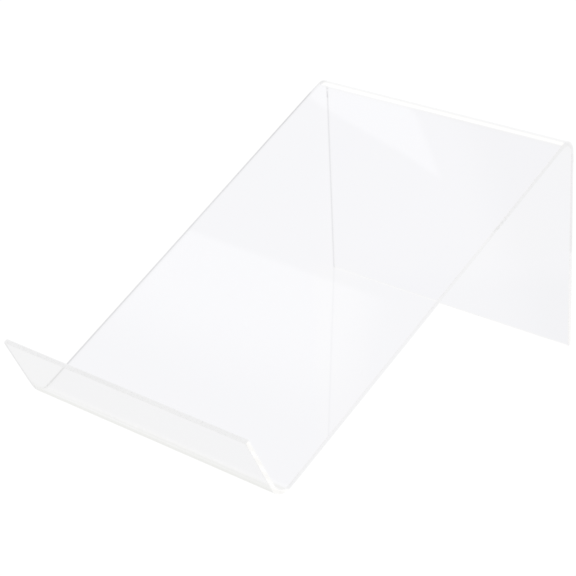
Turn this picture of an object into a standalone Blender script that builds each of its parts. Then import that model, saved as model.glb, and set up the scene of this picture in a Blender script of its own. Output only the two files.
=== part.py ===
"""Book display stand: one clear acrylic sheet, cut square and folded twice.

The folds run along X.  Seen from the right end (looking along -X) the section
runs from the free edge of the front lip, down round the front fold, up the
slope that carries the book, round the top fold and down the rear leg to the
table.  Metres, +Z up, +Y towards the back.  The origin is on the table, midway
along the stand's width and overall depth.
"""

import math

import bmesh
import bpy
from mathutils import Vector

# Sheet.  Lengths are along the mid-surface, from where its flats would meet.
WIDTH = 0.200  # left end to right end
THICKNESS = 0.003
SLOPE_LENGTH = 0.300  # front fold line to top fold line
LIP_LENGTH = 0.0505  # front fold line to the lip's free edge
ARRIS = 0.0003  # bevel offset on every cut edge

# Folds.  Radii are to the mid-surface.
SLOPE_ANGLE = math.radians(28.8)  # slope above the table
LIP_ANGLE = math.radians(90.0)  # between the lip and the slope
LEG_SPLAY = math.radians(2.85)  # leg from plumb, its foot to the back
FRONT_BEND_RADIUS = 0.0100
TOP_BEND_RADIUS = 0.0066
BEND_STEP = math.radians(3.6)  # largest turn between two points of a fold

# Limits on the angle between neighbouring faces.
CUT_EDGE_ANGLE = math.radians(60)  # above every fold step, below a square corner
SHARP_ANGLE = math.radians(30)  # edges that turn more are shaded sharp

HALF = THICKNESS / 2
UP = math.pi / 2
DOWN = 3 * math.pi / 2


def direction(angle):
    """Unit vector in the section plane, as (y, z), at this angle from +Y."""
    return Vector((math.cos(angle), math.sin(angle)))


def fold_centre(fold_line, radius, normal_a, normal_b):
    """The point one radius from both flats, on the side the normals point to."""
    return fold_line + (normal_a + normal_b) * (radius / (1 + normal_a.dot(normal_b)))


def fold_arc(centre, radius, start, end, through):
    """Points of a fold from one normal angle to the other.

    The point at the angle `through`, where the fold is highest or lowest,
    is always one of them.
    """
    points = [centre + direction(start) * radius]
    for a, b in ((start, through), (through, end)):
        # The small allowance keeps rounding from adding a step to a whole number.
        steps = math.ceil(abs(b - a) / BEND_STEP - 1e-6)
        for i in range(1, steps + 1):
            points.append(centre + direction(a + (b - a) * i / steps) * radius)
    return points


def section():
    """The closed outline of the folded sheet, as (y, z) points.

    The front skin is the lip's front, the slope's underside and the leg's
    front; the back skin is the lip's back, the slope's top and the leg's back.
    """
    # Angles of the back skin's normals, which point away from the front skin.
    lip_angle = SLOPE_ANGLE + LIP_ANGLE - math.pi / 2
    slope_angle = SLOPE_ANGLE + math.pi / 2
    leg_angle = LEG_SPLAY
    lip_normal = direction(lip_angle)
    slope_normal = direction(slope_angle)
    leg_normal = direction(leg_angle)

    front_fold = Vector((0.0, 0.0))
    top_fold = direction(SLOPE_ANGLE) * SLOPE_LENGTH
    front_centre = fold_centre(front_fold, FRONT_BEND_RADIUS, lip_normal, slope_normal)
    top_centre = fold_centre(top_fold, TOP_BEND_RADIUS, -slope_normal, -leg_normal)

    # The table is level with the lowest point of the front fold.
    # In these vectors .y is the second component, the height.
    table = front_centre.y - FRONT_BEND_RADIUS - HALF
    # Before its edges are broken, the square-cut leg meets it at its front corner.
    leg_length = (top_fold.y - table - HALF * math.sin(LEG_SPLAY)) / math.cos(LEG_SPLAY)

    lip_end = front_fold + direction(SLOPE_ANGLE + LIP_ANGLE) * LIP_LENGTH
    leg_end = top_fold + direction(LEG_SPLAY - math.pi / 2) * leg_length

    # The front fold curves about a centre behind the sheet, so its normals turn round.
    lip_outward = lip_angle + math.pi
    slope_outward = slope_angle + math.pi

    front_skin = [
        lip_end - lip_normal * HALF,
        *fold_arc(front_centre, FRONT_BEND_RADIUS + HALF, lip_outward, slope_outward, DOWN),
        *fold_arc(top_centre, TOP_BEND_RADIUS - HALF, slope_angle, leg_angle, UP),
        leg_end - leg_normal * HALF,
    ]
    back_skin = [
        leg_end + leg_normal * HALF,
        *fold_arc(top_centre, TOP_BEND_RADIUS + HALF, leg_angle, slope_angle, UP),
        *fold_arc(front_centre, FRONT_BEND_RADIUS - HALF, slope_outward, lip_outward, DOWN),
        lip_end + lip_normal * HALF,
    ]
    return [point - Vector((0.0, table)) for point in front_skin + back_skin]


def extrude_section(bm):
    """Pull the section across X from the left end to the right."""
    ring = [bm.verts.new((-WIDTH / 2, y, z)) for y, z in section()]
    left_end = bm.faces.new(ring)
    pulled = bmesh.ops.extrude_face_region(bm, geom=[left_end])
    right_verts = [item for item in pulled["geom"] if isinstance(item, bmesh.types.BMVert)]
    bmesh.ops.translate(bm, verts=right_verts, vec=(WIDTH, 0.0, 0.0))
    bmesh.ops.recalc_face_normals(bm, faces=bm.faces)


def break_cut_edges(bm):
    """Chamfer the square corners, which are the cut edges of the sheet."""
    cut_edges = [edge for edge in bm.edges if edge.calc_face_angle(0.0) > CUT_EDGE_ANGLE]
    bmesh.ops.bevel(
        bm,
        geom=cut_edges,
        offset=ARRIS,
        offset_type="OFFSET",
        segments=1,
        profile=0.5,
        affect="EDGES",
        clamp_overlap=True,
    )
    bmesh.ops.recalc_face_normals(bm, faces=bm.faces)


def centre_depth(bm):
    """Put the middle of the overall depth at Y = 0."""
    depths = [vert.co.y for vert in bm.verts]
    middle = (min(depths) + max(depths)) / 2
    bmesh.ops.translate(bm, verts=bm.verts, vec=(0.0, -middle, 0.0))


def sheet_mesh():
    bm = bmesh.new()
    extrude_section(bm)
    break_cut_edges(bm)
    centre_depth(bm)

    mesh = bpy.data.meshes.new("bent_acrylic_sheet")
    bm.to_mesh(mesh)
    bm.free()
    mesh.shade_smooth()
    mesh.set_sharp_from_angle(angle=SHARP_ANGLE)
    return mesh


def clear_acrylic():
    """Fully transmitting, polished plastic with a faint blue tint."""
    material = bpy.data.materials.new("clear_acrylic")
    material.use_nodes = True
    shader = material.node_tree.nodes["Principled BSDF"]
    settings = {
        "Base Color": (0.955, 0.955, 0.985, 1.0),
        "Roughness": 0.03,
        "Metallic": 0.0,
        "IOR": 1.49,
        "Transmission Weight": 1.0,
    }
    for name, value in settings.items():
        shader.inputs[name].default_value = value
    return material


def main():
    for obj in list(bpy.data.objects):
        bpy.data.objects.remove(obj, do_unlink=True)

    sheet = bpy.data.objects.new("bent_acrylic_sheet", sheet_mesh())
    sheet.data.materials.append(clear_acrylic())
    bpy.context.scene.collection.objects.link(sheet)


main()
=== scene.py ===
"""Looks of a clear acrylic book display stand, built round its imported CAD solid.

Metres.  X runs across the stand, centred on 0; Y runs from the front to the
back; Z is up and the table is at 0.  The stand is one heat-bent sheet: a lip at
the front, a slope for the book, and a leg behind.  The sheet is made flat, as a
plate with finely rounded cut edges, and then folded by a smooth map which also
adds the flare, waviness and sag of a real bent sheet.
"""

import math

import bmesh
import bpy
import numpy as np
from mathutils import Matrix, Vector


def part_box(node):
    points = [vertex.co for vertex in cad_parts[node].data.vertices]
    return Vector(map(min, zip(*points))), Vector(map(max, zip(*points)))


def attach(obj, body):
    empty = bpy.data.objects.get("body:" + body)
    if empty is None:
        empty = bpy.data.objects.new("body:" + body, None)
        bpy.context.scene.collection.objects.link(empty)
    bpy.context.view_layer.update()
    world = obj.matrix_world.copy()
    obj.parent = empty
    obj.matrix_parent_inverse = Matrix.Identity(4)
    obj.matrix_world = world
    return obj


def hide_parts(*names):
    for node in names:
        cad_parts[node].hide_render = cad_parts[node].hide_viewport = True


NODE = "bent_acrylic_sheet"

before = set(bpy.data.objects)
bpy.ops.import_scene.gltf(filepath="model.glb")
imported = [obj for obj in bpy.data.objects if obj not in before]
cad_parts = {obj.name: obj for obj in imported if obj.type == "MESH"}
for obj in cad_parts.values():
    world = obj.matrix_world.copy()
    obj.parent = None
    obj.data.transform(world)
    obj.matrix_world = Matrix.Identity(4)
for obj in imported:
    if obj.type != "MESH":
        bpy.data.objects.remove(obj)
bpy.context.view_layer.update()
box_lo, box_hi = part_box(NODE)

# -------------------------------------------------- design of the folded sheet
WIDTH = box_hi.x - box_lo.x
THICKNESS = 0.003
HALF = THICKNESS / 2
SLOPE_LENGTH = 0.300  # lengths of slope and lip run to the sharp corners of the mid-line
LIP_LENGTH = 0.0505
SLOPE_ANGLE = math.radians(28.8)
LIP_ANGLE = math.radians(90.0)  # between slope and lip
LEG_SPLAY = math.radians(2.85)
FRONT_RADIUS = 0.0100  # of the folds' mid-surface
TOP_RADIUS = 0.0066

EDGE_RADIUS = 0.00035  # rounding of the flame-polished cut edges
EDGE_STEPS = 8
EDGE_ANGLES = [i / EDGE_STEPS * math.pi / 2 for i in range(EDGE_STEPS + 1)]

# Small truths of a strip-heated fold.
HEAT_REACH = 0.004  # how far the heat fades along the sheet
CURL_REACH = 0.0035  # how far a fold's flare fades from the cut edge
FRONT_BULGE, TOP_BULGE = 0.00016, 0.00020  # sideways flare of the skins
FRONT_DRAW, TOP_DRAW = 0.00010, 0.00008  # pull of the free ends to the fold's centre
WAVE_HEIGHT = 0.000012
WAVES = ((1.0, 0.037, 0.7), (0.6, 0.0173, 2.1), (0.4, 0.0091, 4.0))  # share, length, phase
SAG, SAG_SWING = 0.00018, 0.00010  # of the slope: mean, and change across the width
SAG_RATE, SAG_PHASE = 1.3, 0.4  # half waves of that change in the width, and its phase


def polar(angle):
    """Unit vector in (Y, Z)."""
    return np.array([math.cos(angle), math.sin(angle)])


def meet(start, way, other_start, other_way):
    """Where two lines in (Y, Z) cross."""
    gap = other_start - start
    reach = gap[0] * other_way[1] - gap[1] * other_way[0]
    return start + way * (reach / (way[0] * other_way[1] - way[1] * other_way[0]))


slope_dir = polar(SLOPE_ANGLE)
lip_dir = polar(SLOPE_ANGLE + LIP_ANGLE)
leg_dir = polar(-math.pi / 2 + LEG_SPLAY)
# Normals point to the book, and backwards from the leg.
slope_normal = polar(SLOPE_ANGLE + math.pi / 2)
lip_normal = polar(SLOPE_ANGLE + LIP_ANGLE - math.pi / 2)
leg_normal = polar(LEG_SPLAY)

front_corner = np.zeros(2)
top_corner = slope_dir * SLOPE_LENGTH
lip_tip = front_corner + lip_dir * LIP_LENGTH
front_centre = meet(
    front_corner + lip_normal * FRONT_RADIUS, lip_dir,
    front_corner + slope_normal * FRONT_RADIUS, slope_dir,
)
top_centre = meet(
    top_corner - slope_normal * TOP_RADIUS, slope_dir,
    top_corner - leg_normal * TOP_RADIUS, leg_dir,
)
table_z = front_centre[1] - FRONT_RADIUS - HALF
leg_length = (top_corner[1] - table_z - HALF * math.sin(LEG_SPLAY)) / math.cos(LEG_SPLAY)

top_turn = SLOPE_ANGLE + math.pi / 2 - LEG_SPLAY
front_cut = FRONT_RADIUS * math.tan(LIP_ANGLE / 2)  # from sharp corner to start of bend
top_cut = TOP_RADIUS * math.tan(top_turn / 2)

# Lengths along the mid-surface, from the lip's free edge to the leg's foot.
FRONT_START = LIP_LENGTH - front_cut
FRONT_END = FRONT_START + FRONT_RADIUS * LIP_ANGLE
TOP_START = FRONT_END + SLOPE_LENGTH - front_cut - top_cut
TOP_END = TOP_START + TOP_RADIUS * top_turn
SHEET_END = TOP_END + leg_length - top_cut

# The CAD sheet touches the table along the lowest line of its front fold, right
# under the fold's centre.
lowest = [v.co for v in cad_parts[NODE].data.vertices if v.co.z < 2e-6]
shift = np.array([sum(p.y for p in lowest) / len(lowest) - front_centre[0], -table_z])


# ---------------------------------------------------------------- folding map
def straight(start, way, normal, distance, off):
    return [start[i] + way[i] * distance + normal[i] * off for i in (0, 1)]


def arc(centre, radius, start_angle, turn, distance, off):
    """`turn` is 1 for a fold whose angle grows along the sheet, else -1."""
    angle = start_angle + turn * distance / radius
    reach = radius - turn * off
    return [centre[0] + np.cos(angle) * reach, centre[1] + np.sin(angle) * reach]


def bend_map(x, along, off):
    """Plate points (across, along, off the mid-surface) to their folded places."""

    def heat(start, end):
        """1 in a fold, fading to 0 away from it."""
        distance = np.maximum(np.maximum(start - along, along - end), 0.0)
        return np.exp(-((distance / HEAT_REACH) ** 2))

    front_heat = heat(FRONT_START, FRONT_END)
    top_heat = heat(TOP_START, TOP_END)
    side = np.sign(x)
    curl = np.exp(-(WIDTH / 2 - np.abs(x)) / CURL_REACH)
    # The squeezed inner skin bulges past the cut edge, the stretched outer one pulls in.
    x = x + side * curl * FRONT_BULGE * (off / HALF) * front_heat
    x = x - side * curl * TOP_BULGE * (off / HALF) * top_heat
    off = off + curl * FRONT_DRAW * front_heat - curl * TOP_DRAW * top_heat
    wave = sum(share * np.sin(x * 2 * math.pi / length + phase) for share, length, phase in WAVES)
    off = off + WAVE_HEIGHT * wave * (front_heat + top_heat)
    share = np.clip((along - FRONT_END) / (TOP_START - FRONT_END), 0, 1)
    swing = SAG_SWING * np.cos(math.pi * x / WIDTH * SAG_RATE + SAG_PHASE)
    sag = np.sin(math.pi * share) ** 2 * (SAG + swing)
    off = off - sag * ((along > FRONT_END) & (along < TOP_START))

    lip_end_angle = SLOPE_ANGLE + LIP_ANGLE + math.pi / 2
    runs = [
        straight(lip_tip, -lip_dir, lip_normal, along, off),
        arc(front_centre, FRONT_RADIUS, lip_end_angle, 1, along - FRONT_START, off),
        straight(front_corner, slope_dir, slope_normal, along - FRONT_END + front_cut, off),
        arc(top_centre, TOP_RADIUS, SLOPE_ANGLE + math.pi / 2, -1, along - TOP_START, off),
        straight(top_corner, leg_dir, leg_normal, along - TOP_END + top_cut, off),
    ]
    before = [along < limit for limit in (FRONT_START, FRONT_END, TOP_START, TOP_END)]
    y, z = (np.select(before, [run[i] for run in runs[:-1]], runs[-1][i]) for i in (0, 1))
    return np.stack([x, y + shift[0], z + shift[1]], -1)


def bend_normals(flat, normals):
    """Plate normals carried through the map by the inverse transpose of its slope."""
    step = 2e-6
    x, along, off = flat.T
    columns = []
    for dx, ds, dn in ((step, 0, 0), (0, step, 0), (0, 0, step)):
        ahead = bend_map(x + dx, along + ds, off + dn)
        behind = bend_map(x - dx, along - ds, off - dn)
        columns.append((ahead - behind) / (2 * step))
    slopes = np.stack(columns, -1)
    out = np.einsum("kij,kj->ki", np.linalg.inv(slopes).transpose(0, 2, 1), normals)
    return out / np.linalg.norm(out, axis=1, keepdims=True)


# ------------------------------------------------------------------ the sheet
def stations_along():
    """Cuts across the plate's length: fine in the folds, open on the flats."""
    ease = 0.010  # reach of the closer cuts beside a fold
    beside = 0.0012
    fold_step = math.radians(1.8)
    runs = (  # end of run, longest step
        (FRONT_START - ease, 0.006),
        (FRONT_START, beside),
        (FRONT_END, FRONT_RADIUS * fold_step),
        (FRONT_END + ease, beside),
        (TOP_START - ease, 0.008),
        (TOP_START, beside),
        (TOP_END, TOP_RADIUS * fold_step),
        (TOP_END + ease, beside),
        (SHEET_END - EDGE_RADIUS, 0.006),
    )
    marks = []
    start = EDGE_RADIUS
    for end, step in runs:
        count = max(1, math.ceil((end - start) / step))
        marks.extend(start + (end - start) * i / count for i in range(count))
        start = end
    return marks + [start]


def stations_across():
    """Stations across the width, closer together near the cut ends."""
    half = WIDTH / 2 - EDGE_RADIUS
    near_end = [0.0, 0.0006, 0.0014, 0.0025, 0.004, 0.006, 0.009]
    left = [-half + d for d in near_end]
    right = [half - d for d in reversed(near_end)]
    inner = np.linspace(left[-1], right[0], 46)[1:-1]
    return left + list(inner) + right


def section(stations, cap_angle):
    """One turn round the plate's section as (x, off, normal x, normal off).

    It starts at the left of the upper skin.  `cap_angle` shrinks it towards a free end.
    """
    corner_x, corner_off = WIDTH / 2 - EDGE_RADIUS, HALF - EDGE_RADIUS
    radius = EDGE_RADIUS * math.cos(cap_angle)

    def corner(side_x, side_off, angles, x_part, off_part):
        for angle in angles:
            nx, noff = side_x * x_part(angle), side_off * off_part(angle)
            yield side_x * corner_x + radius * nx, side_off * corner_off + radius * noff, nx, noff

    return [
        *((x, corner_off + radius, 0.0, 1.0) for x in stations),
        *corner(1, 1, EDGE_ANGLES[1:], math.sin, math.cos),
        *corner(1, -1, EDGE_ANGLES, math.cos, math.sin),
        *((x, -corner_off - radius, 0.0, -1.0) for x in reversed(stations[:-1])),
        *corner(-1, -1, EDGE_ANGLES[1:], math.sin, math.cos),
        *corner(-1, 1, EDGE_ANGLES[:-1], math.cos, math.sin),
    ]


def plate():
    """Flat points, their normals, the faces, and each face's material (0 skin, 1 cut edge)."""
    stations = stations_across()
    caps = [(EDGE_RADIUS * (1 - math.sin(a)), a) for a in EDGE_ANGLES[1:]]
    # Rings: place along, cap angle, and which free end it rounds (-1 lip, 1 leg).
    rings = [(inset, angle, -1.0) for inset, angle in reversed(caps)]
    rings += [(along, 0.0, 0.0) for along in stations_along()]
    rings += [(SHEET_END - inset, angle, 1.0) for inset, angle in caps]

    flat, normals = [], []
    for along, angle, end in rings:
        for x, off, nx, noff in section(stations, angle):
            flat.append((x, along, off))
            normals.append((nx * math.cos(angle), end * math.sin(angle), noff * math.cos(angle)))

    size = len(section(stations, 0.0))
    spans = len(stations) - 1
    under = spans + 2 * EDGE_STEPS + 1  # first point of the under side, at the right
    faces, kinds = [], []
    for r in range(len(rings) - 1):
        cap = rings[r][2] != 0.0 or rings[r + 1][2] != 0.0
        for i in range(size):
            j = (i + 1) % size
            faces.append((r * size + i, r * size + j, (r + 1) * size + j, (r + 1) * size + i))
            skin = i < spans or under <= i < under + spans
            kinds.append(0 if skin and not cap else 1)
    # The two free ends, as strips from the upper skin to the under side.
    for base, flip in ((0, True), ((len(rings) - 1) * size, False)):
        for i in range(spans):
            far = base + under + spans - i
            quad = (base + i, base + i + 1, far - 1, far)
            faces.append(quad[::-1] if flip else quad)
            kinds.append(1)
    return np.array(flat), np.array(normals), faces, kinds


def read_vectors(mesh, name):
    values = np.empty(len(mesh.vertices) * 3, np.float32)
    mesh.attributes[name].data.foreach_get("vector", values)
    return values.reshape(-1, 3)


def build_sheet():
    flat, flat_normals, faces, kinds = plate()
    normals = bend_normals(flat, flat_normals)
    mesh = bpy.data.meshes.new("clear_sheet")
    mesh.from_pydata(bend_map(*flat.T).tolist(), [], faces)
    bm = bmesh.new()
    bm.from_mesh(mesh)
    normal_layer = bm.verts.layers.float_vector.new("plate_normal")
    place_layer = bm.verts.layers.float_vector.new("plate_place")
    bm.verts.ensure_lookup_table()
    for i, vert in enumerate(bm.verts):
        vert[normal_layer] = normals[i]
        vert[place_layer] = flat[i]
    for face, kind in zip(bm.faces, kinds):
        face.material_index = kind
        face.smooth = True
    bmesh.ops.remove_doubles(bm, verts=bm.verts, dist=1e-8)
    bmesh.ops.dissolve_degenerate(bm, edges=bm.edges, dist=1e-9)
    if bm.calc_volume(signed=True) < 0:
        bmesh.ops.reverse_faces(bm, faces=bm.faces)
    bm.to_mesh(mesh)
    bm.free()
    mesh.normals_split_custom_set_from_vertices(read_vectors(mesh, "plate_normal").tolist())
    mesh.attributes.remove(mesh.attributes["plate_normal"])
    # Metres across and along the sheet, for the materials.
    place = read_vectors(mesh, "plate_place")
    uv = mesh.uv_layers.new(name="sheet")
    corners = np.empty(len(mesh.loops), np.int32)
    mesh.loops.foreach_get("vertex_index", corners)
    uv.data.foreach_set("uv", place[corners][:, :2].ravel())
    return mesh


# ------------------------------------------------------------------ materials
class Tree:
    """A short way to write the node tree of a material or world."""

    def __init__(self, owner):
        owner.use_nodes = True
        self.tree = owner.node_tree
        self.tree.nodes.clear()

    def add(self, kind, inputs=None, **props):
        node = self.tree.nodes.new(kind)
        for key, value in props.items():
            setattr(node, key, value)
        for key, value in (inputs or {}).items():
            self.put(node.inputs[key], value)
        return node

    def put(self, socket, value):
        if isinstance(value, bpy.types.NodeSocket):
            self.tree.links.new(value, socket)
        elif isinstance(value, bpy.types.Node):
            self.tree.links.new(value.outputs[0], socket)
        else:
            socket.default_value = value

    def math(self, op, a, b=0.0):
        return self.add("ShaderNodeMath", {0: a, 1: b}, operation=op).outputs[0]

    def times(self, a, b):
        return self.math("MULTIPLY", a, b)

    def invert(self, value):
        return self.math("SUBTRACT", 1.0, value)

    def split(self, vector):
        return [self.add("ShaderNodeSeparateXYZ", {"Vector": vector}).outputs[k] for k in "XYZ"]

    def weigh(self, x, x_weight, y, y_weight):
        return self.math("ADD", self.times(x, x_weight), self.times(y, y_weight))

    def noise(self, vector, scale, detail=2.0, rough=0.5, distortion=0.0):
        inputs = {"Vector": vector, "Scale": scale, "Detail": detail}
        inputs.update({"Roughness": rough, "Distortion": distortion})
        return self.add("ShaderNodeTexNoise", inputs).outputs["Fac"]

    def remap(self, value, start, end, low=0.0, high=1.0, **props):
        inputs = {"Value": value, "From Min": start, "From Max": end}
        inputs.update({"To Min": low, "To Max": high})
        return self.add("ShaderNodeMapRange", inputs, clamp=True, **props).outputs[0]

    def soft(self, value, start, end):
        """0 before start, 1 past end, smooth between; start may be above end."""
        return self.remap(value, start, end, interpolation_type="SMOOTHSTEP")

    def window(self, first, *others):
        """Product of soft ramps, each given as (value, start, end)."""
        product = self.soft(*first)
        for ramp in others:
            product = self.times(product, self.soft(*ramp))
        return product

    def mix(self, share, a, b):
        return self.add("ShaderNodeMix", {0: share, 6: a, 7: b}, data_type="RGBA").outputs[2]

    def light_path(self, name):
        return self.add("ShaderNodeLightPath").outputs[name]

    def spent(self):
        """1 for light that has run a long way inside the sheet, where all it passed blends."""
        return self.math("GREATER_THAN", self.light_path("Ray Depth"), 9.5)

    def surface(self, shader, output="ShaderNodeOutputMaterial"):
        self.add(output, {"Surface": shader})


def start_acrylic(name):
    material = bpy.data.materials.new(name)
    tree = Tree(material)
    uv = tree.add("ShaderNodeUVMap", uv_map="sheet").outputs[0]
    place = tree.add("ShaderNodeTexCoord").outputs["Object"]
    return material, tree, uv, place


def finish_acrylic(tree, tone, rough, bump):
    inputs = {"Base Color": tone, "Roughness": rough, "IOR": 1.49}
    inputs.update({"Transmission Weight": 1.0, "Normal": bump.outputs[0]})
    tree.surface(tree.add("ShaderNodeBsdfPrincipled", inputs))


FACE_TONES = ((0.986, 0.986, 0.992, 1), (0.992, 0.992, 0.997, 1))  # a breath of lavender
BAKED_TONE = (0.984, 0.984, 0.983, 1)
EDGE_TONES = ((0.990, 0.989, 0.981, 1), (0.999, 0.998, 0.993, 1))  # a little warmer
DULL_TONE = (0.955, 0.955, 0.950, 1)
# Painted shade for the left cut edge.
LEFT_EDGE_SHADE_TONE = (0.850, 0.850, 0.845, 1)
# Hairline scratches in two directions: turn, stretch, noise where a line starts and is full.
HAIRS = (
    (0.35, (60.0, 2600.0, 1.0), 0.72, 0.78),
    (-1.1, (45.0, 2100.0, 1.0), 0.73, 0.79),
)


def face_material():
    """Polished faces of cast acrylic: clear, with faint handling haze."""
    material, tree, uv, place = start_acrylic("clear_acrylic_face")
    smudge = tree.noise(place, scale=26.0, detail=4.0, rough=0.62, distortion=0.8)
    haze = tree.remap(smudge, start=0.52, end=0.80)
    lines = []
    for turn, scale, start, end in HAIRS:
        inputs = {"Vector": uv, "Rotation": (0, 0, turn), "Scale": scale}
        stretched = tree.add("ShaderNodeMapping", inputs).outputs[0]
        lines.append(tree.remap(tree.noise(stretched, scale=1.0), start, end))
    hairs = tree.math("MAXIMUM", *lines)
    rough = tree.weigh(haze, 0.030, hairs, 0.05)
    rough = tree.math("ADD", rough, 0.006)
    tone = tree.mix(tree.noise(place, scale=9.0), *FACE_TONES)
    # Heat has taken a little of the clearness from the top fold.
    along = tree.split(uv)[1]
    baked = tree.window((along, TOP_START - 0.002, TOP_START), (along, TOP_END + 0.002, TOP_END))
    tone = tree.mix(baked, tone, BAKED_TONE)
    swell = tree.noise(place, scale=14.0, detail=1.0, rough=0.3)
    bump = tree.add("ShaderNodeBump", {"Strength": 0.10, "Distance": 0.0004, "Height": swell})
    scratch = {"Strength": 0.05, "Distance": 0.00001, "Height": hairs, "Normal": bump}
    finish_acrylic(tree, tone, rough, tree.add("ShaderNodeBump", scratch))
    return material


def edge_material():
    """Sawn and flame-polished cut edges, with fine marks, and painted shade on the left edge."""
    material, tree, uv, place = start_acrylic("clear_acrylic_cut_edge")
    marks = tree.add("ShaderNodeMapping", {"Vector": uv, "Scale": (900.0, 900.0, 1.0)})
    saw = tree.noise(marks.outputs[0], scale=1.0, detail=3.0, rough=0.6)
    blotch = tree.noise(place, scale=90.0, detail=3.0)
    rough = tree.remap(saw, start=0.35, end=0.75, low=0.008, high=0.035)
    tone = tree.mix(blotch, *EDGE_TONES)
    # The heat of the folds has left their cut ends a little dulled.
    x, along, _ = tree.split(uv)
    left = tree.math("LESS_THAN", x, 0.0)
    dull_and_left_shade = tree.window(
        (along, FRONT_START + 0.002, FRONT_START + 0.008), (along, FRONT_END + 0.010, FRONT_END)
    )
    tone = tree.mix(dull_and_left_shade, tone, DULL_TONE)
    # Painted shade: the left cut edge is made darker at the top fold and near the lip's free end, but
    # not for light spent inside the sheet.
    top = tree.window((along, TOP_START - 0.006, TOP_START), (along, TOP_END + 0.003, TOP_END - 0.001))
    tip_strength = 0.25
    tip = tree.times(tree.soft(along, start=0.006, end=0.002), tip_strength)
    dull_and_left_shade = tree.times(left, tree.math("MAXIMUM", top, tip))
    dull_and_left_shade = tree.times(dull_and_left_shade, tree.invert(tree.spent()))
    tone = tree.mix(dull_and_left_shade, tone, LEFT_EDGE_SHADE_TONE)
    bump = tree.add("ShaderNodeBump", {"Strength": 0.12, "Distance": 0.00002, "Height": saw})
    finish_acrylic(tree, tone, rough, bump)
    return material


sheet = bpy.data.objects.new("clear_acrylic_sheet", build_sheet())
bpy.context.scene.collection.objects.link(sheet)
sheet.data.materials.append(face_material())
sheet.data.materials.append(edge_material())
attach(sheet, "root")
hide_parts(NODE)


# --------------------------------------------------------------------- studio
# A white paper sweep, seen by the camera as plain white.  What the clear sheet
# itself sees is a little darker and has a shape: pale lavender paper near it, a
# brighter warm backdrop behind on the left, and an unlit side on the right.
SEEN = (1.04, 1.04, 1.04, 1)
PAPER = (0.940, 0.940, 0.955, 1)
UNDER_LIP = (0.786, 0.786, 0.750, 1)  # paper shaded by the lip, looking backwards
BY_LIP = (0.884, 0.884, 0.854, 1)  # the same, looking forwards
FRONT = (0.990, 0.990, 1.000, 1)  # painted light: open paper in front of the stand, out of its shade
UNLIT = (0.66, 0.66, 0.67, 1)
BEHIND_TOP = (0.52, 0.52, 0.53, 1)
BEHIND_LEG = (0.77, 0.77, 0.78, 1)
SPENT = (0.860, 0.860, 0.868, 1)
BACKDROP = (1.035, 1.027, 1.011, 1)
LAMP = (1.225, 1.215, 1.195, 1)
LAMP_AT = (-0.634, 0.380, 0.674)
FLAG = (0.60, 0.60, 0.61, 1)
FLAG_FOOT = (0.84, 0.84, 0.86, 1)  # painted shade: the floor towards a flag
GLOSS = 0.20  # share of a mirror in the paper
OPEN_SHARE, FAR_SHARE, FOOT_SHARE = 0.11, 0.085, 0.03  # strengths of the paper's shading
FLOOR_HALF, FLOOR_Z = 30.0, -0.00002
SOFTBOX_HEIGHT, SOFTBOX_POWER = 1.2, 0.26


def fade_spent(tree, tone):
    return tree.mix(tree.spent(), tone, SPENT)


def room(tree, x, y, near, shade):
    """What the sheet sees when it looks along (x, y), over the `near` tone there."""
    # The light falls off to the back right.
    dark = tree.window((x, 0.05, 0.30), (y, 0.15, 0.40))
    tone = tree.mix(dark, near, fade_spent(tree, shade))
    # Towards the front right lies open paper, out of the stand's shade.
    rightward = tree.math("MAXIMUM", tree.soft(x, start=-0.10, end=0.10), tree.spent())
    front = tree.times(rightward, tree.soft(y, start=0.35, end=0.10))
    return tree.mix(front, tone, fade_spent(tree, FRONT))


def flags(tree, x, y, tone, flag):
    """Dark cards stand square to the stand, far off on all four sides."""
    square = tree.math("MAXIMUM", tree.math("ABSOLUTE", x), tree.math("ABSOLUTE", y))
    return tree.mix(tree.soft(square, start=0.92, end=0.97), tone, flag)


def studio_world():
    world = bpy.data.worlds.new("studio")
    bpy.context.scene.world = world
    tree = Tree(world)
    direction = tree.add("ShaderNodeTexCoord").outputs["Generated"]
    x, y, z = tree.split(direction)
    behind = tree.window((x, 0.05, -0.25), (y, 0.20, 0.42))
    band = tree.window((z, -0.02, 0.08), (z, 0.90, 0.78))
    tone = tree.mix(tree.times(behind, band), PAPER, BACKDROP)
    # A soft lamp over the back left.
    toward = tree.add("ShaderNodeVectorMath", {0: direction, 1: LAMP_AT}, operation="DOT_PRODUCT")
    tone = tree.mix(tree.soft(toward.outputs["Value"], start=0.972, end=0.992), tone, LAMP)
    tone = tree.mix(tree.soft(x, start=0.10, end=0.45), tone, fade_spent(tree, UNLIT))
    tone = tree.mix(tree.light_path("Is Camera Ray"), flags(tree, x, y, tone, FLAG), SEEN)
    background = tree.add("ShaderNodeBackground", {"Color": tone, "Strength": 1.0})
    tree.surface(background, "ShaderNodeOutputWorld")
    world.cycles.sampling_method = "NONE"


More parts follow.
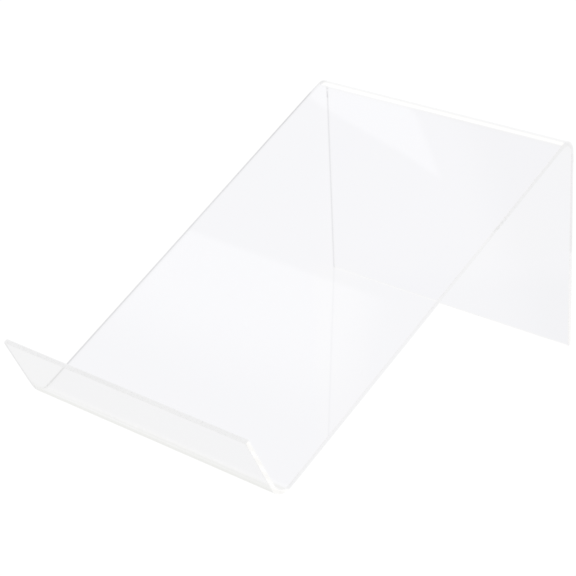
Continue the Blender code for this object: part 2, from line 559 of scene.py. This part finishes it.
def floor_material():
    # The paper is a glow, lit by no lamp: to the camera it is plain white, and the light and shade the
    # sheet sees on it are painted into the glow.
    material = bpy.data.materials.new("floor_paper")
    tree = Tree(material)
    here = tree.add("ShaderNodeNewGeometry")
    place_x, place_y, _ = tree.split(here.outputs["Position"])
    flip = {0: here.outputs["Incoming"], 1: (-1.0, -1.0, -1.0)}
    x, y, _ = tree.split(tree.add("ShaderNodeVectorMath", flip, operation="MULTIPLY"))
    seen = tree.light_path("Is Camera Ray")
    # The lip shades the paper at the front, from a line that shifts with the view.
    by_lip = tree.mix(tree.soft(y, start=0.10, end=0.35), BY_LIP, UNDER_LIP)
    line_shift = 0.007
    shifted = tree.times(tree.window((y, 0.46, 0.52), (y, 0.73, 0.68)), line_shift)
    reach = tree.math("SUBTRACT", place_y, shifted)
    tone = tree.mix(tree.soft(reach, start=-0.120, end=-0.130), PAPER, by_lip)
    # Distances to the back right and to the back left.
    back_right = tree.weigh(place_x, 0.728, place_y, 0.685)
    back_left = tree.math("SUBTRACT", tree.times(place_y, 0.728), tree.times(place_x, 0.685))
    # Painted light on brighter open paper, then painted fall-off of light to the back right and
    # painted shade round the leg's foot.
    opened = tree.window((back_right, 0.015, 0.040), (back_left, 0.13, 0.19))
    tone = tree.mix(tree.times(opened, OPEN_SHARE), tone, BACKDROP)
    falloff = tree.soft(back_right, start=0.128, end=0.176)
    tone = tree.mix(tree.times(falloff, FAR_SHARE), tone, UNLIT)
    foot = tree.window((back_right, 0.06, 0.13), (back_left, 0.19, 0.12))
    tone = tree.mix(tree.times(foot, FOOT_SHARE), tone, UNLIT)
    # Bands of shade behind the stand, by distance from a slanting line.
    far = tree.math("SUBTRACT", place_y, tree.times(place_x, 1.06))
    shade = tree.mix(tree.soft(far, start=0.12, end=0.22), UNLIT, BEHIND_TOP)
    shade = tree.mix(tree.soft(far, start=0.236, end=0.250), shade, BEHIND_LEG)
    tone = room(tree, x, y, tone, shade)
    tone = tree.mix(seen, flags(tree, x, y, tone, FLAG_FOOT), SEEN)
    # The leg's left edge is mirrored in the paper, just in front of it.
    strip = tree.window(
        (back_right, 0.008, 0.018), (back_right, 0.050, 0.038), (back_left, 0.19, 0.17)
    )
    share = tree.times(tree.times(tree.invert(seen), strip), GLOSS)
    glow = tree.add("ShaderNodeEmission", {"Color": tone, "Strength": 1.0})
    gloss = {"Color": (0.95, 0.95, 0.95, 1), "Roughness": 0.02}
    mirror = tree.add("ShaderNodeBsdfGlossy", gloss)
    tree.surface(tree.add("ShaderNodeMixShader", {0: share, 1: glow, 2: mirror}))
    return material


def softbox_material(name, ramps):
    """Light added to what is behind; `ramps` (x weight, y weight, start, end) fade its sides."""
    material = bpy.data.materials.new(name)
    tree = Tree(material)
    x, y, _ = tree.split(tree.add("ShaderNodeNewGeometry").outputs["Position"])
    # Light that has run along inside the sheet is too spent to show this.
    power = tree.times(SOFTBOX_POWER, tree.invert(tree.spent()))
    for x_weight, y_weight, start, end in ramps:
        place = tree.weigh(x, x_weight, y, y_weight)
        power = tree.times(power, tree.soft(place, start, end))
    glow = tree.add("ShaderNodeEmission", {"Color": (1.0, 1.0, 1.0, 1), "Strength": power})
    clear = tree.add("ShaderNodeBsdfTransparent")
    tree.surface(tree.add("ShaderNodeAddShader", {0: glow, 1: clear}))
    return material


def panel(name, corners, height, material):
    mesh = bpy.data.meshes.new(name)
    mesh.from_pydata([(x, y, height) for x, y in corners], [], [(0, 1, 2, 3)])
    obj = bpy.data.objects.new(name, mesh)
    bpy.context.scene.collection.objects.link(obj)
    material.cycles.emission_sampling = "NONE"
    mesh.materials.append(material)
    return obj


def floor():
    far = FLOOR_HALF
    corners = [(-far, -far), (far, -far), (far, far), (-far, far)]
    panel("floor", corners, FLOOR_Z, floor_material())


def softbox(name, y0, y1, ramps):
    """A glowing panel overhead, off to the left, facing down."""
    x0, x1 = -1.70, -0.70
    corners = [(x0, y0), (x0, y1), (x1, y1), (x1, y0)]
    obj = panel(name, corners, SOFTBOX_HEIGHT, softbox_material(name, ramps))
    obj.visible_camera = False
    obj.visible_shadow = False


studio_world()
floor()
strip_ramps = [(0, 1, 0.084, 0.074), (0, 1, -0.13, 0.01), (1, 0, -0.74, -0.84)]
softbox("strip_softbox", -0.13, 0.10, strip_ramps)
corner_ramps = [(0.231, 0.973, 0.056, 0.066), (0.735, 0.678, -0.388, -0.402)]
softbox("corner_softbox", 0.20, 0.60, corner_ramps)

# --------------------------------------------------------------------- camera
CAMERA_AT = (4.3277, -3.4969, 2.6006)  # stand widths from the left end of the front fold
LENS, SENSOR = 124.75625, 36.0  # millimetres
yaw, pitch, roll = math.radians(43.2304), math.radians(22.3656), math.radians(-0.6424)
level = math.cos(pitch)
forward = Vector((-math.sin(yaw) * level, math.cos(yaw) * level, -math.sin(pitch)))
right = Vector((math.cos(yaw), math.sin(yaw), 0.0))
up = right.cross(forward)
rolled_right = right * math.cos(roll) + up * math.sin(roll)
rolled_up = up * math.cos(roll) - right * math.sin(roll)
camera_data = bpy.data.cameras.new("camera")
camera = bpy.data.objects.new("camera", camera_data)
bpy.context.scene.collection.objects.link(camera)
place = Vector(CAMERA_AT) * WIDTH + Vector((-WIDTH / 2, float(shift[0]), 0.0))
turn = Matrix((rolled_right, rolled_up, -forward)).transposed()
camera.matrix_world = Matrix.Translation(place) @ turn.to_4x4()
camera_data.sensor_width = SENSOR
camera_data.lens = LENS
camera_data.clip_start, camera_data.clip_end = 0.01, 100.0
bpy.context.scene.camera = camera

# ------------------------------------------------------------- render settings
scene = bpy.context.scene
scene.view_settings.view_transform = "Standard"
scene.view_settings.look = "None"
scene.view_settings.exposure = 0.0
scene.view_settings.gamma = 1.0
BOUNCES = 500  # light runs a long way inside the sheet
cycles = scene.cycles
cycles.max_bounces = BOUNCES
cycles.transmission_bounces = BOUNCES
cycles.glossy_bounces = BOUNCES
cycles.transparent_max_bounces = 16
cycles.use_denoising = True
cycles.use_adaptive_sampling = False
cycles.sampling_pattern = "TABULATED_SOBOL"
cycles.min_light_bounces = BOUNCES
cycles.pixel_filter_type = "BLACKMAN_HARRIS"
cycles.filter_width = 1.6

# The lens is a touch soft.
scene.use_nodes = True
lens = scene.node_tree
lens.nodes.clear()
shot = lens.nodes.new("CompositorNodeRLayers")
soften = lens.nodes.new("CompositorNodeFilter")
soften.filter_type = "SOFTEN"
soften.inputs["Fac"].default_value = 0.5
result = lens.nodes.new("CompositorNodeComposite")
lens.links.new(shot.outputs["Image"], soften.inputs["Image"])
lens.links.new(soften.outputs["Image"], result.inputs["Image"])
